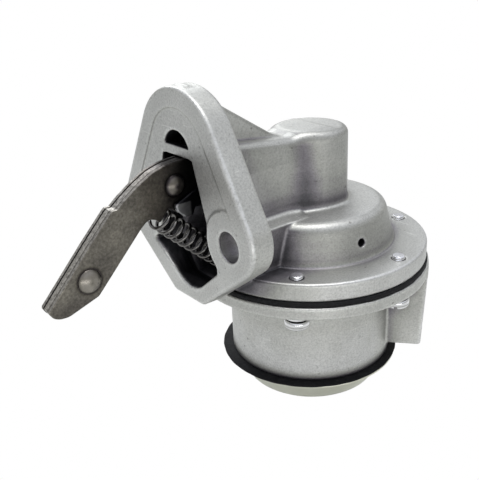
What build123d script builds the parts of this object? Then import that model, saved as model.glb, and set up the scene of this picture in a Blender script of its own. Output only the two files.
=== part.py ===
# Mechanical fuel pump with a laminated rocker arm. Millimetres, +Z up.
# Origin: middle of the two-bolt pattern on the mounting face, which faces -X.
import math
import os
from build123d import *

# Main sizes
PUMP_X = 59.7            # diaphragm axis from the mounting face
FLANGE_T = 9.2           # mounting flange thickness
BOLT_Y = 25.5            # bolt hole from the middle plane
BOLT_R = 5.1
BOLT_BOSS_R = 10.9
RIM_TOP = -20.6
RIM_T = 6.95
RIM_R = 46.0
DIAPHRAGM_PROUD = 0.6     # diaphragm edge beyond the rim
DIAPHRAGM_T = 2.0
LOWER_FLANGE_T = 4.0
LOWER_FLANGE_PROUD = 0.9  # lower flange beyond the rim
BODY_R = 32.8
BODY_BOTTOM = -68.7
DRUM_BASE_R = 33.3
DRUM_EDGE_R = 29.4
DRUM_EDGE_Z = -5.5
TOWER_X = 60.4
TOWER_R = 14.4
TOWER_TOP = 23.6
TOWER_FOOT_Z = -4.6
NECK_HALF = 15.2
NECK_FLOOR = -25.6
BOX_HALF = 9.0
WALL = 2.6
ROOF_Z = 28.5            # roof height carried back to the mounting face
ROOF_FALL = 0.12         # roof fall per millimetre of X
RIB_HALF = 3.0
PIN_X = 17.7             # rocker pivot
PIN_Z = 13.4
PIN_R = 4.0
PIN_PLAY = 0.05
ARM_HALF = 3.0
PLATE_T = 1.6            # outer arm plates
LINK_IN = 3.3            # inside faces of the link lever
LINK_T = 1.6
ROD_R = 3.0
ROD_PLAY = 0.05
COLLAR_Z = 10.0          # underside of the collar that the link lifts
ROOM_FLOOR = -1.5        # floor of the arm chamber over the drum
DRUM_CEILING = -8.2
SEAL_R = 6.5
BOWL_R = 29.5            # bore of both castings round the diaphragm
PLATE_TOP = -33.8        # top of the upper diaphragm plate at rest
PLATE_METAL = 1.2
PLATE_R = 20.0
DECK_TOP = -42.5
DECK_T = 8.0
VALVE_R = 8.5
VALVE_OFFSET = 14.0
PORT_TURN = 10.0         # lower body turned about the pump axis
PORT_ANGLE = 60.0        # each port boss from that line
PORT_HALF = 9.0
PORT_END = 46.85
PORT_FACE = 45.35        # spot face of each port from the pump axis
PORT_R = 5.6
PORT_DEPTH = 15.0
PORT_WAY_R = 4.2         # passage behind the thread
PORT_Z = -55.0
PORT_BOTTOM = -64.0
SCREW_INSET = 5.6         # screw circle inside the rim
SCREW_FIRST = -20.0
SCREW_COUNT = 6
SCREW_R = 2.5
SCREW_TIP = 1.2
WASHER_T = 1.2
PULSATOR_T = 1.2
COVER_T = 1.2
COVER_R = 35.4
COVER_BOTTOM = -82.2
COVER_SCREW_R = 3.0
VENT_R = 1.5
VENT_Z = -14.1

RIM_BOTTOM = RIM_TOP - RIM_T
DIAPHRAGM_R = RIM_R + DIAPHRAGM_PROUD
LOWER_FLANGE_R = RIM_R + LOWER_FLANGE_PROUD
SCREW_RING_R = RIM_R - SCREW_INSET
CHAMBER_HALF = BOX_HALF - WALL
LOWER_TOP = RIM_BOTTOM - DIAPHRAGM_T
LOWER_FLANGE_BOTTOM = LOWER_TOP - LOWER_FLANGE_T
DECK_BOTTOM = DECK_TOP - DECK_T
PAD_TOP = PLATE_TOP - PLATE_METAL
PAD_BOTTOM = PAD_TOP - 1.6
UP = (0, 0, 1)


# General helpers
def prism_y(points, y0, y1):
    # solid with a side view given as (x, z) points
    wire = Polyline(*[(x, y0, z) for x, z in points], close=True)
    return extrude(make_face(wire), amount=y1 - y0, dir=(0, 1, 0))


def prism_x(points, x0, x1):
    # solid with a front view given as (y, z) points
    wire = Polyline(*[(x0, y, z) for y, z in points], close=True)
    return extrude(make_face(wire), amount=x1 - x0, dir=(1, 0, 0))


def mirrored(points):
    # closes a half outline of (y, z) points over the middle plane
    return points + [(-y, z) for y, z in reversed(points)]


def turned(points, x=PUMP_X, y=0.0):
    # solid of revolution from (radius, z) points
    wire = Polyline(*[(x + r, y, z) for r, z in points], close=True)
    return revolve(make_face(wire), axis=Axis((x, y, 0), UP), revolution_arc=360)


def upright(r, z0, z1, x=PUMP_X, y=0.0):
    return Pos(x, y, (z0 + z1) / 2) * Cylinder(r, z1 - z0)


def bar_from(start, direction, r, length):
    place = Plane(origin=start, z_dir=direction)
    return place * Cylinder(r, length, align=(Align.CENTER, Align.CENTER, Align.MIN))


def across(r, y0, y1, x, z):
    return bar_from((x, y0, z), (0, 1, 0), r, y1 - y0)


def coil(radius, wire, length, turns):
    # helical spring standing on z = 0, wire ends inside the length
    rise = length - wire
    path = Edge.make_helix(rise / turns, rise, radius)
    start = Plane(origin=path @ 0, z_dir=path % 0)
    return Pos(0, 0, wire / 2) * sweep(start * Circle(wire / 2), path=path)


def ring_places(first, count, radius):
    places = []
    for k in range(count):
        a = math.radians(first + 360.0 / count * k)
        places.append((PUMP_X + radius * math.cos(a), radius * math.sin(a)))
    return places


def near(edges, test):
    return ShapeList([e for e in edges if test(e)])


# Upper housing
APEX = (0.0, 24.83, 22.46)     # corner circles of the flange outline: y, z, radius
EAR = (25.07, 0.97, 12.58)
FOOT = (7.59, -25.0, 2.68)
MOUTH_HALF = CHAMBER_HALF + 1.3
MOUTH = [(MOUTH_HALF, 24.6), (18.4, -10.3), (5.9, -22.4)]
BRIDGE = (24.6, 27.9)          # cast bar across the mouth
ARCH_TOP = 33.1
ARCH_HALF = CHAMBER_HALF + 0.4


def hull_outline(circles, x=0.0):
    # outline round circles given anticlockwise as (y, z, radius): straight tangents and arcs
    ways = []
    for k, (y1, z1, r1) in enumerate(circles):
        y2, z2, r2 = circles[(k + 1) % len(circles)]
        slope = math.atan2(z2 - z1, y2 - y1)
        ways.append(slope - math.acos((r1 - r2) / math.hypot(y2 - y1, z2 - z1)))
    edges = []
    for k, way in enumerate(ways):
        y1, z1, r1 = circles[k]
        y2, z2, r2 = circles[(k + 1) % len(circles)]
        turn = (ways[(k + 1) % len(ways)] - way) % (2 * math.pi)
        spots = [(x, y1 + r1 * math.cos(way), z1 + r1 * math.sin(way))]
        for angle in (way, way + turn / 2, way + turn):
            spots.append((x, y2 + r2 * math.cos(angle), z2 + r2 * math.sin(angle)))
        edges += [Line(spots[0], spots[1]), ThreePointArc(*spots[1:])]
    return make_face(Wire(edges))


def flange_circles(inset=0.0):
    order = [FOOT, EAR, APEX, (-EAR[0], EAR[1], EAR[2]), (-FOOT[0], FOOT[1], FOOT[2])]
    return [(y, z, r - inset) for y, z, r in order]


def flange_plate():
    plate = extrude(hull_outline(flange_circles()), amount=FLANGE_T, dir=(1, 0, 0))
    plate = fillet(plate.faces().sort_by(Axis.X)[0].outer_wire().edges(), 1.6)
    return fillet(plate.faces().sort_by(Axis.X)[-1].outer_wire().edges(), 1.2)


def flange_recess():
    # shallow step inside the outline, ending at the bolt bosses
    sheet = extrude(hull_outline(flange_circles(6.5)[1:4]), amount=0.4, dir=(1, 0, 0))
    for side in (-1, 1):
        sheet -= bar_from((-1, side * BOLT_Y, 0), (1, 0, 0), BOLT_BOSS_R, 3)
    return sheet - Pos(0, 0, -30) * Box(4, 80, 60)


def mouth_sketch(x, half):
    wire = Polyline(*[(x, y, z) for y, z in mirrored(half)], close=True)
    return make_face(wire)


def deep_half(top):
    # half section of the deep front room behind the mouth
    return [(CHAMBER_HALF, top), (CHAMBER_HALF, -4.0), (11.2, -9.5), (11.2, -13.0), (7.0, -22.4)]


def mouth_cavity():
    # flared way from the face into the arm chamber
    cut = loft([mouth_sketch(-0.5, MOUTH), mouth_sketch(9.0, [(MOUTH_HALF, 24.6), (15.0, -10.0), (6.5, -22.4)])],
               ruled=True)
    cut += loft([mouth_sketch(9.0, [(MOUTH_HALF, 24.6), (12.9, 0.0), (15.0, -10.0), (14.0, -11.5), (6.5, -22.4)]),
                 mouth_sketch(20.0, deep_half(23.0))], ruled=True)
    for side in (-1, 1):
        cut -= bar_from((-1, side * BOLT_Y, 0), (1, 0, 0), BOLT_BOSS_R, 9.4)
    return cut


def arch_pocket():
    # blind arched pocket over the bridge, joined to the chamber behind it
    arch = mirrored([(ARCH_HALF, BRIDGE[0]), (ARCH_HALF, 28.6), (ARCH_HALF - 0.8, 30.8), (ARCH_HALF - 2.6, 32.3), (2.1, ARCH_TOP)])
    pocket = prism_x(arch, -0.5, FLANGE_T - 2.2)
    bar = prism_x(mirrored([(12.0, BRIDGE[0]), (12.0, BRIDGE[1])]), -1.0, 3.6)
    return pocket - bar


def neck():
    # ends under the drum top; its floor tapers like the flange foot
    section = mirrored([(BOX_HALF, TOWER_FOOT_Z + 1.0), (NECK_HALF, DRUM_EDGE_Z + 0.4),
                        (NECK_HALF, RIM_TOP - 0.3), (9.0, NECK_FLOOR)])
    return prism_x(section, FLANGE_T - 1, PUMP_X - 20)


def flare():
    near_half = [(11.6, 22.0), (18.6, -6.0), (19.0, -12.0), (15.5, -20.0), (8.9, NECK_FLOOR + 0.1)]
    far_half = [(BOX_HALF - 0.1, 20.0), (BOX_HALF - 0.1, TOWER_FOOT_Z + 0.8), (NECK_HALF - 0.1, DRUM_EDGE_Z + 0.2),
                (NECK_HALF - 0.1, RIM_TOP - 0.4), (8.9, NECK_FLOOR + 0.1)]
    return loft([mouth_sketch(FLANGE_T - 1, near_half), mouth_sketch(21.0, far_half)], ruled=True)


def box_section(x, top):
    # cross-section of the arm box with softened top corners
    half = [(BOX_HALF - 2.2, top), (BOX_HALF - 1.0, top - 0.4), (BOX_HALF - 0.3, top - 1.1),
            (BOX_HALF, top - 2.2), (BOX_HALF, -12.0)]
    return mouth_sketch(x, half)


def arm_box():
    x0, x1 = FLANGE_T - 1, PUMP_X - 13
    end = ROOF_Z - ROOF_FALL * x1
    box = loft([box_section(x0, ROOF_Z - ROOF_FALL * x0), box_section(x1, end)], ruled=True)
    return box + loft([box_section(x1, end), box_section(PUMP_X, end)], ruled=True)


def tower_corners():
    # concave corner between the box walls and the tower
    reach = 5.0
    solid = None
    for side in (-1, 1):
        cx = TOWER_X - math.sqrt((TOWER_R + reach) ** 2 - (BOX_HALF + reach) ** 2)
        cy = BOX_HALF + reach
        to_tower = math.atan2(-cy, TOWER_X - cx)
        spots = [(cx, BOX_HALF - 2), (cx, BOX_HALF)]
        for k in range(1, 5):
            a = -math.pi / 2 + (to_tower + math.pi / 2) * k / 4
            spots.append((cx + reach * math.cos(a), cy + reach * math.sin(a)))
        spots.append((TOWER_X - 4, BOX_HALF - 2))
        wire = Polyline(*[(x, side * y, TOWER_FOOT_Z - 1) for x, y in spots], close=True)
        web = extrude(make_face(wire), amount=TOWER_TOP - 3.6 - TOWER_FOOT_Z, dir=UP)
        solid = web if solid is None else solid + web
    return solid


def wedge_rib():
    side = [(FLANGE_T - 1, 44.8), (41.5, 22.95), (41.5, 22.0), (FLANGE_T - 1, 22.0)]
    rib = prism_y(side, -RIB_HALF, RIB_HALF)
    top = near(rib.edges(), lambda e: e.center().Z > 30 and abs(abs(e.center().Y) - RIB_HALF) < 0.01 and e.length > 30)
    return fillet(top, 0.8)


def drum():
    drum_body = turned([(0, RIM_BOTTOM), (DRUM_BASE_R, RIM_BOTTOM), (DRUM_BASE_R, RIM_TOP),
                        (DRUM_EDGE_R, DRUM_EDGE_Z), (TOWER_R - 1, TOWER_FOOT_Z), (0, TOWER_FOOT_Z)])
    edge = near(drum_body.edges(), lambda e: abs(e.center().Z - DRUM_EDGE_Z) < 0.01 and e.length > 100)
    return fillet(edge, 2.4)


def rim():
    plate = upright(RIM_R, RIM_BOTTOM, RIM_TOP)
    top = near(plate.edges(), lambda e: abs(e.center().Z - RIM_TOP) < 0.01)
    return fillet(top, 1.0)


def tower():
    post = upright(TOWER_R, TOWER_FOOT_Z - 3, TOWER_TOP, TOWER_X)
    top = near(post.edges(), lambda e: abs(e.center().Z - TOWER_TOP) < 0.01)
    return fillet(top, 2.2)


def arm_chamber():
    # room for the arm and the link, with the deep front part and the tower bore
    deep = prism_x(mirrored(deep_half(20.0)), 19.0, 25.5)
    ceiling = ROOF_Z - ROOF_FALL * PUMP_X - WALL
    side = [(8.0, ROOM_FLOOR), (PUMP_X, ROOM_FLOOR), (PUMP_X, ceiling), (8.0, ceiling + ROOF_FALL * (PUMP_X - 8.0))]
    upper = prism_y(side, -CHAMBER_HALF, CHAMBER_HALF)
    return deep + upper + upright(TOWER_R - WALL, ROOM_FLOOR, ceiling, TOWER_X)


def drum_cavity():
    room = turned([(0, RIM_BOTTOM - 1), (BOWL_R, RIM_BOTTOM - 1), (BOWL_R - 0.2, RIM_TOP - 2), (26.0, DRUM_CEILING - 2.4),
                   (20.0, DRUM_CEILING), (0, DRUM_CEILING)])
    room += upright(SEAL_R, DRUM_CEILING - 1, ROOM_FLOOR - 1.4)
    return room + upright(ROD_R + 0.5, DRUM_CEILING, ROOM_FLOOR + 1)


# Return spring line in the middle plane
SPRING_TOP = (-9.5, 5.6)
SPRING_FOOT = (17.8, -19.2)
SPRING_R = 3.45
SPRING_WIRE = 1.2


def spring_line():
    dx = SPRING_FOOT[0] - SPRING_TOP[0]
    dz = SPRING_FOOT[1] - SPRING_TOP[1]
    length = math.hypot(dx, dz)
    return (dx / length, 0, dz / length), length


def spring_seat():
    way, length = spring_line()
    start = (SPRING_FOOT[0], 0, SPRING_FOOT[1])
    pad = bar_from(start, way, 5.2, 9.0)
    peg = bar_from((start[0] - way[0] * 3, 0, start[2] - way[2] * 3), way, 2.5, 4.0)
    inside = Pos(19.0, 0, -14.0) * Box(14.0, 30, 24.0)
    return (pad & inside) + peg


def upper_housing():
    body = flange_plate() + neck() + flare() + arm_box() + wedge_rib()
    body += drum() + rim() + tower()
    body += tower_corners()
    body -= flange_recess()
    for hollow in (mouth_cavity(), arch_pocket(), arm_chamber(), drum_cavity()):
        body -= hollow
    body += spring_seat()
    for side in (-1, 1):
        body -= bar_from((-1, side * BOLT_Y, 0), (1, 0, 0), BOLT_R, FLANGE_T + 4)
    body -= across(PIN_R + 0.02, -20, 20, PIN_X, PIN_Z)
    for x, y in ring_places(SCREW_FIRST, SCREW_COUNT, SCREW_RING_R):
        body -= upright(SCREW_R + 0.05, RIM_BOTTOM - 1, RIM_TOP + SCREW_TIP + 0.3, x, y)
    a = math.radians(-96.5)
    vent = bar_from((PUMP_X, 0, VENT_Z), (math.cos(a), math.sin(a), 0), VENT_R, 40)
    return body - (vent & turned([(22, -20), (40, -20), (40, -5), (22, -5)]))


# Rocker arm
ARM_OUTSIDE = [(-53.0, -13.1), (-36.9, 4.0), (-28.2, 12.8), (-27.3, 13.5), (-25.7, 13.4), (-22.5, 15.9),
               (-17.5, 19.2), (-11.7, 22.3), (-6.5, 23.7), (-0.4, 24.2), (3.0, 24.5), (6.5, 24.0),
               (12.5, 22.4), (17.7, 21.2)]
ARM_UNDER = [(17.7, 5.6), (6.0, 6.4), (-3.9, 6.8), (-6.4, 9.0), (-10.5, 4.5), (-12.0, 6.2),
             (-14.2, 6.9), (-15.9, 6.2), (-18.0, 4.4), (-35.5, -13.4), (-46.6, -16.9), (-49.6, -16.6),
             (-51.6, -15.6)]
RIVET_OUT = (-38.1, -7.1, 4.3)
RIVET_IN = (-3.7, 16.2, 3.9)


def arm_plate(y0, y1):
    plate = prism_y(ARM_OUTSIDE + ARM_UNDER, y0, y1)
    plate += across(21.2 - PIN_Z, y0, y1, PIN_X, PIN_Z)
    plate -= across(PIN_R + PIN_PLAY, y0 - 1, y1 + 1, PIN_X, PIN_Z)
    for x, z, r in (RIVET_OUT, RIVET_IN):
        plate -= across(2.52, y0 - 1, y1 + 1, x, z)
    return plate


def rivet(x, z, head_r):
    height = 1.9
    ball_r = (head_r ** 2 + height ** 2) / (2 * height)
    body = across(2.5, -ARM_HALF, ARM_HALF, x, z)
    for side in (-1, 1):
        ball = Pos(x, side * (ARM_HALF + height - ball_r), z) * Sphere(ball_r)
        keep = across(head_r + 0.5, 0, 6.0, x, z) if side > 0 else across(head_r + 0.5, -6.0, 0, x, z)
        cap = ball & keep
        cap -= across(head_r + 2, -ARM_HALF, ARM_HALF, x, z)
        body += cap
    return body


def pivot_pin():
    half = BOX_HALF
    pin = across(PIN_R, -half, half, PIN_X, PIN_Z)
    return chamfer(near(pin.edges(), lambda e: abs(abs(e.center().Y) - half) < 0.01), 0.4)


# Link lever between the arm and the pull rod
LINK_SIDE = [(-5.2, 9.9), (-2.9, 10.9), (6.0, 14.5), (12.5, 19.9), (17.7, 19.9), (23.0, 18.2), (40.0, 13.0),
             (53.0, COLLAR_Z), (PUMP_X, COLLAR_Z), (63.5, COLLAR_Z - 0.6), (64.5, 8.5), (63.5, 5.2),
             (56.0, 4.6), (38.0, 6.2), (23.0, 7.6), (17.7, 6.9), (8.0, 7.6), (2.8, 7.6), (1.6, 4.95),
             (-1.6, 4.95), (-4.4, 7.4)]


def link_lever():
    cheek_out = LINK_IN + LINK_T
    body = prism_y(LINK_SIDE, -cheek_out, -LINK_IN) + prism_y(LINK_SIDE, LINK_IN, cheek_out)
    body += prism_y([(-1.5, 4.95), (1.6, 4.95), (1.6, 6.2), (-1.5, 6.2)], -cheek_out, cheek_out)
    body += prism_y([(30.0, 7.0), (46.0, 5.6), (46.0, 7.2), (30.0, 8.6)], -cheek_out, cheek_out)
    return body - across(PIN_R + PIN_PLAY, -9, 9, PIN_X, PIN_Z)


def arm_return_spring():
    way, length = spring_line()
    place = Plane(origin=(SPRING_TOP[0], 0, SPRING_TOP[1]), z_dir=way)
    return place * coil(SPRING_R, SPRING_WIRE, length, 10)


# Diaphragm and pull rod
def pull_rod():
    rod = upright(ROD_R, -41.6, COLLAR_Z)
    rod += upright(6.2, COLLAR_Z, COLLAR_Z + 2.5)
    return rod + upright(5.0, PLATE_TOP, PLATE_TOP + 1.5)


def main_diaphragm():
    sheet = turned([(ROD_R + 0.05, PAD_TOP), (PLATE_R + 1.0, PAD_TOP), (PLATE_R + 2.5, PAD_TOP + 0.5),
                    (BOWL_R - 0.5, RIM_BOTTOM - 0.9), (BOWL_R + 1.0, RIM_BOTTOM), (DIAPHRAGM_R, RIM_BOTTOM),
                    (DIAPHRAGM_R, LOWER_TOP), (BOWL_R + 2.0, LOWER_TOP), (BOWL_R + 0.5, LOWER_TOP - 0.7),
                    (PLATE_R + 3.0, PAD_BOTTOM + 0.6), (PLATE_R + 1.5, PAD_BOTTOM), (ROD_R + 0.05, PAD_BOTTOM)])
    for x, y in ring_places(SCREW_FIRST, SCREW_COUNT, SCREW_RING_R):
        sheet -= upright(SCREW_R + 0.25, LOWER_TOP - 1, RIM_BOTTOM + 1, x, y)
    return sheet


def upper_plate():
    return turned([(ROD_R + 0.05, PAD_TOP), (PLATE_R, PAD_TOP), (PLATE_R + 1.2, PAD_TOP + 0.9),
                   (PLATE_R + 0.6, PAD_TOP + 2.0), (PLATE_R - 0.8, PLATE_TOP), (ROD_R + 0.05, PLATE_TOP)])


def lower_plate():
    return turned([(ROD_R + 0.05, PAD_BOTTOM), (PLATE_R, PAD_BOTTOM), (PLATE_R + 1.2, PAD_BOTTOM - 0.9),
                   (PLATE_R + 0.4, PAD_BOTTOM - 2.0), (PLATE_R - 0.8, PAD_BOTTOM - PLATE_METAL),
                   (ROD_R + 0.05, PAD_BOTTOM - PLATE_METAL)])


def rod_nut():
    top = PAD_BOTTOM - PLATE_METAL
    nut = Pos(PUMP_X, 0, top - 3.2) * extrude(RegularPolygon(5.6, 6), amount=3.2)
    return nut - upright(ROD_R + 0.02, top - 5, top + 1)


def diaphragm_spring():
    foot = PLATE_TOP
    return Pos(PUMP_X, 0, foot) * coil(13.0, 1.8, DRUM_CEILING - 1.5 - foot, 6)


def rod_seal():
    seal = upright(SEAL_R - 0.05, DRUM_CEILING, ROOM_FLOOR - 1.4)
    return seal - upright(ROD_R + ROD_PLAY, DRUM_CEILING - 1, ROOM_FLOOR)


def seal_retainer():
    cup = turned([(ROD_R + 0.8, DRUM_CEILING), (15.5, DRUM_CEILING), (15.5, DRUM_CEILING - 3.0),
                  (14.7, DRUM_CEILING - 3.0), (14.7, DRUM_CEILING - 1.5), (ROD_R + 0.8, DRUM_CEILING - 1.5)])
    return cup


# Lower body
def local(shape):
    # turns something built about the port line to its place
    return Pos(PUMP_X, 0, 0) * Rot(0, 0, PORT_TURN) * shape


def about(angle, shape):
    return Rot(0, 0, angle) * shape


def port_boss():
    block = Pos(PORT_END / 2, 0, (LOWER_TOP + PORT_BOTTOM) / 2) * Box(PORT_END, 2 * PORT_HALF,
                                                                   LOWER_TOP - PORT_BOTTOM)
    slant = Plane.XZ * Polyline((PORT_END, LOWER_TOP), (PORT_END + 3, LOWER_TOP), (PORT_END + 3, PORT_BOTTOM),
                                (PORT_END - 1.4, PORT_BOTTOM), close=True)
    return block - extrude(make_face(slant), amount=20, both=True)


def port_bore():
    # spot face, threaded hole and the narrower way into the flow chamber
    cut = bar_from((PORT_FACE, 0, PORT_Z), (1, 0, 0), PORT_HALF - 1, 4)
    cut += bar_from((PORT_FACE + 1, 0, PORT_Z), (-1, 0, 0), PORT_R, PORT_DEPTH + 1)
    return cut + bar_from((PORT_FACE, 0, PORT_Z), (-1, 0, 0), PORT_WAY_R, 22)


def half_moon(side):
    # one of the two flow chambers, beside the dividing web
    room = Pos(0, 0, (DECK_BOTTOM + BODY_BOTTOM) / 2) * Cylinder(28.5, DECK_BOTTOM - BODY_BOTTOM)
    room = room & (Pos(0, side * 22.5, (DECK_BOTTOM + BODY_BOTTOM) / 2) * Box(80, 40, 40))
    return room - Pos(0, 0, -60) * Cylinder(7.0, 40)


def lower_body():
    body = Pos(0, 0, (LOWER_TOP + BODY_BOTTOM) / 2) * Cylinder(BODY_R, LOWER_TOP - BODY_BOTTOM)
    for side in (-1, 1):
        body += about(side * PORT_ANGLE, port_boss())
    corners = near(body.edges(), lambda e: e.length > 25 and abs(math.hypot(e.center().X, e.center().Y)
                                                               - BODY_R) < 0.6 and e.center().Z < -40)
    body = fillet(corners, 1.6)
    flange = Pos(0, 0, LOWER_TOP - LOWER_FLANGE_T / 2) * Cylinder(LOWER_FLANGE_R, LOWER_FLANGE_T)
    low = near(flange.edges(), lambda e: abs(e.center().Z - LOWER_FLANGE_BOTTOM) < 0.01)
    body += fillet(low, 0.8)
    body -= Pos(0, 0, (LOWER_TOP + DECK_TOP) / 2) * Cylinder(BOWL_R, LOWER_TOP - DECK_TOP)
    body -= Pos(0, 0, LOWER_TOP - 1.5) * Cone(BOWL_R - 0.1, BOWL_R + 2.0, 3.0)
    for side in (-1, 1):
        body -= half_moon(side)
        body -= Pos(0, side * VALVE_OFFSET, (DECK_TOP + DECK_BOTTOM) / 2) * Cylinder(VALVE_R, DECK_T + 1)
        body -= about(side * PORT_ANGLE, port_bore())
    body -= Pos(0, 0, BODY_BOTTOM) * Cylinder(COVER_SCREW_R + 0.05, 24)
    for k in range(SCREW_COUNT):
        a = math.radians(SCREW_FIRST - PORT_TURN + 360.0 / SCREW_COUNT * k)
        body -= Pos(SCREW_RING_R * math.cos(a), SCREW_RING_R * math.sin(a), LOWER_TOP) * Cylinder(SCREW_R + 0.25, 12)
    return local(body)


def valve(side, up):
    # seat, disc, spring and cage of one valve; the outlet one hangs the other way up
    seat = Pos(0, 0, 1.0) * Cylinder(VALVE_R - 0.02, 2.0) - Cylinder(4.5, 9)
    disc = Pos(0, 0, 2.6) * Cylinder(6.2, 1.2)
    cage = Pos(0, 0, 5.0) * Cylinder(VALVE_R - 0.02, 6.0) - Pos(0, 0, 4.5) * Cylinder(7.3, 5.0)
    for k in range(4):
        cage -= about(45 + 90 * k, Pos(4.9, 0, 7.5) * Cylinder(1.7, 2))
    spring = Pos(0, 0, 3.2) * coil(2.6, 0.6, 3.8, 3)
    parts = []
    for shape in (seat, disc, cage, spring):
        if not up:
            shape = Pos(0, 0, DECK_T) * Rot(180, 0, 0) * shape
        parts.append(local(Pos(0, side * VALVE_OFFSET, DECK_BOTTOM) * shape))
    return parts


def pulsator_diaphragm():
    sheet = upright(COVER_R + 1.6, BODY_BOTTOM - PULSATOR_T, BODY_BOTTOM)
    return sheet - upright(COVER_SCREW_R + 0.2, BODY_BOTTOM - 5, BODY_BOTTOM + 5)


def pulsator_cover():
    top = BODY_BOTTOM - PULSATOR_T
    t = COVER_T
    pan = turned([(COVER_SCREW_R + 0.3, COVER_BOTTOM), (24.2, COVER_BOTTOM), (27.6, COVER_BOTTOM + 2.0),
                  (31.4, top - t - 2.2), (32.6, top - t), (COVER_R, top - t), (COVER_R, top), (31.6, top),
                  (30.3, top - 2.0), (26.7, COVER_BOTTOM + 2.9), (23.8, COVER_BOTTOM + t),
                  (COVER_SCREW_R + 0.3, COVER_BOTTOM + t)])
    return pan


def cover_screw():
    body = upright(COVER_SCREW_R, COVER_BOTTOM - 1.2, BODY_BOTTOM + 10)
    head = Pos(PUMP_X, 0, COVER_BOTTOM - 5.2) * extrude(RegularPolygon(5.8, 6), amount=4.0)
    return body + head


def cover_washer():
    ring = upright(6.4, COVER_BOTTOM - 1.2, COVER_BOTTOM)
    return ring - upright(COVER_SCREW_R + 0.2, COVER_BOTTOM - 3, COVER_BOTTOM + 1)


def rim_screws():
    solids = []
    head_top = LOWER_FLANGE_BOTTOM - WASHER_T
    for x, y in ring_places(SCREW_FIRST, SCREW_COUNT, SCREW_RING_R):
        screw = upright(SCREW_R, head_top, RIM_TOP + SCREW_TIP, x, y)
        screw = chamfer(near(screw.edges(), lambda e: e.center().Z > RIM_TOP), 0.4)
        head = upright(4.8, head_top - 3.0, head_top, x, y)
        head = fillet(near(head.edges(), lambda e: e.center().Z < head_top - 1), 1.2)
        head -= Pos(x, y, head_top - 3.0) * Box(9.8, 1.2, 2.2)
        solids.append(screw + head)
    return Compound(solids)


def rim_washers():
    solids = []
    for x, y in ring_places(SCREW_FIRST, SCREW_COUNT, SCREW_RING_R):
        ring = upright(4.6, LOWER_FLANGE_BOTTOM - WASHER_T, LOWER_FLANGE_BOTTOM, x, y)
        solids.append(ring - upright(SCREW_R + 0.2, LOWER_FLANGE_BOTTOM - 3, LOWER_FLANGE_BOTTOM + 1, x, y))
    return Compound(solids)


def build():
    middle = ARM_HALF - PLATE_T
    nodes = {
        "upper_housing": upper_housing(),
        "lower_body": lower_body(),
        "main_diaphragm": main_diaphragm(),
        "diaphragm_upper_plate": upper_plate(),
        "diaphragm_lower_plate": lower_plate(),
        "pull_rod": pull_rod(),
        "pull_rod_nut": rod_nut(),
        "pull_rod_seal": rod_seal(),
        "seal_retainer": seal_retainer(),
        "diaphragm_spring": diaphragm_spring(),
        "link_lever": link_lever(),
        "arm_plate_near": arm_plate(-ARM_HALF, -middle),
        "arm_plate_middle": arm_plate(-middle, middle),
        "arm_plate_far": arm_plate(middle, ARM_HALF),
        "arm_tip_rivet": rivet(*RIVET_OUT),
        "arm_inner_rivet": rivet(*RIVET_IN),
        "pivot_pin": pivot_pin(),
        "arm_return_spring": arm_return_spring(),
        "rim_screws": rim_screws(),
        "rim_lock_washers": rim_washers(),
        "pulsator_diaphragm": pulsator_diaphragm(),
        "pulsator_cover": pulsator_cover(),
        "cover_screw": cover_screw(),
        "cover_screw_washer": cover_washer(),
    }
    for name, side, up in (("inlet", 1, True), ("outlet", -1, False)):
        seat, disc, cage, spring = valve(side, up)
        nodes[name + "_valve_seat"] = seat
        nodes[name + "_valve_disc"] = disc
        nodes[name + "_valve_cage"] = cage
        nodes[name + "_valve_spring"] = spring
    return nodes


os.makedirs("parts", exist_ok=True)
for node, shape in build().items():
    export_step(shape, "parts/" + node + ".step")
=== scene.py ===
import bpy
import math
import numpy as np
from mathutils import Matrix, Vector


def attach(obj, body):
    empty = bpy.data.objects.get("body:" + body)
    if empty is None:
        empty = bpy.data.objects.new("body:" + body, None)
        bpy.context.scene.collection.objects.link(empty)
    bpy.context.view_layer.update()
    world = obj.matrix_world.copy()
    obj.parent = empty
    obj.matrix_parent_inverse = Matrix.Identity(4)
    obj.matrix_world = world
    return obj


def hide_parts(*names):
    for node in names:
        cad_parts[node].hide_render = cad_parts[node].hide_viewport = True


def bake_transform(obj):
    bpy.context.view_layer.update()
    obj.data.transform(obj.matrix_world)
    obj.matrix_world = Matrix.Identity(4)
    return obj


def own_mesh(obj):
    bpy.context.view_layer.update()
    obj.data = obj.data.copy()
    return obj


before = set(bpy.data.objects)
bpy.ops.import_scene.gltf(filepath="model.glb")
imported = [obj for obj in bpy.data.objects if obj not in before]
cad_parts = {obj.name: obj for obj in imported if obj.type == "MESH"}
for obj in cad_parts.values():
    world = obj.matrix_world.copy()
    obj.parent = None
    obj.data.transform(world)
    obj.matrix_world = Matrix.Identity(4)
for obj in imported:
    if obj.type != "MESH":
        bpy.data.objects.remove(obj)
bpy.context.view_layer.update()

# Sizes in millimetres in the shared frame: the flange's front face is x = 0 and the pump stands upright

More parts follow.
